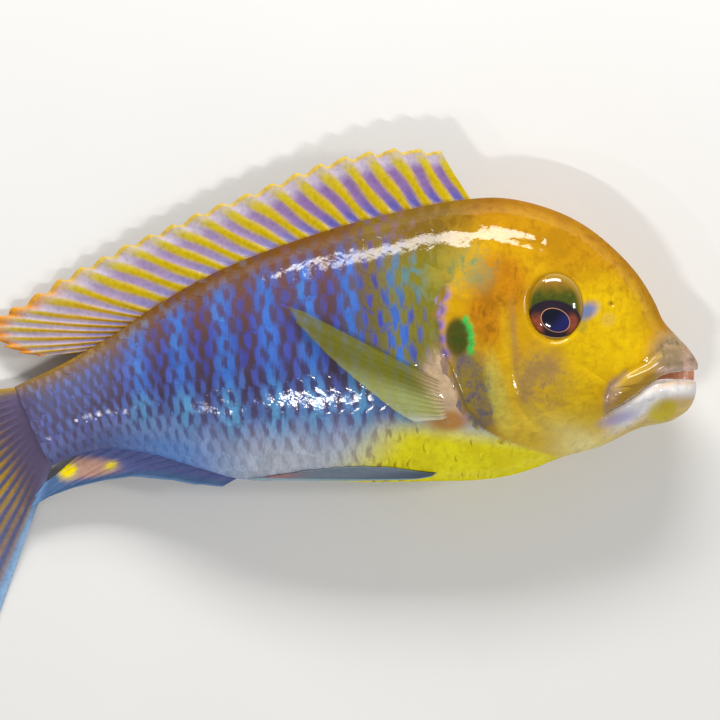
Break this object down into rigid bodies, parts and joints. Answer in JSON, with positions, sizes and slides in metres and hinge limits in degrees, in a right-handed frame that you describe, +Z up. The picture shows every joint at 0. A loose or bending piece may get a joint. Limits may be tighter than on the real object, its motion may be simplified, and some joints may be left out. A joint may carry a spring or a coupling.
{
  "type": "cichlid fish model",
  "caption": "Male mbuna cichlid at life size, lying on its left side: golden head, barred blue flank, folded fins and spread tail.",
  "frame": {"origin": "the bottom centre of the bounding box, on the floor that the fish lies on", "axes": "+X towards the snout, +Y towards the back fin, +Z up, out of the fish's right flank"},
  "size_m": [0.1194, 0.0672, 0.0186],
  "materials": {
    "head": "wet skin, golden yellow",
    "flank": "wet scales, blue with darker bars",
    "jaw": "wet skin, lavender grey",
    "fin": "wet membrane on bony rays",
    "clear_fin": "thin clear olive membrane",
    "eye": "glossy"
  },
  "bodies": {
    "root": {"anal_fin": "fin", "caudal_fin": "fin", "dorsal_fin": "fin", "eye_left": "eye", "eye_right": "eye", "gill_cover_left": "head", "gill_cover_right": "head", "head": "head", "lower_jaw": "jaw", "pectoral_fin_left": "clear_fin", "pectoral_fin_right": "clear_fin", "pelvic_fin_left": "fin", "pelvic_fin_right": "fin", "tail_stalk": "flank", "trunk": "flank"}
  },
  "joints": []
}
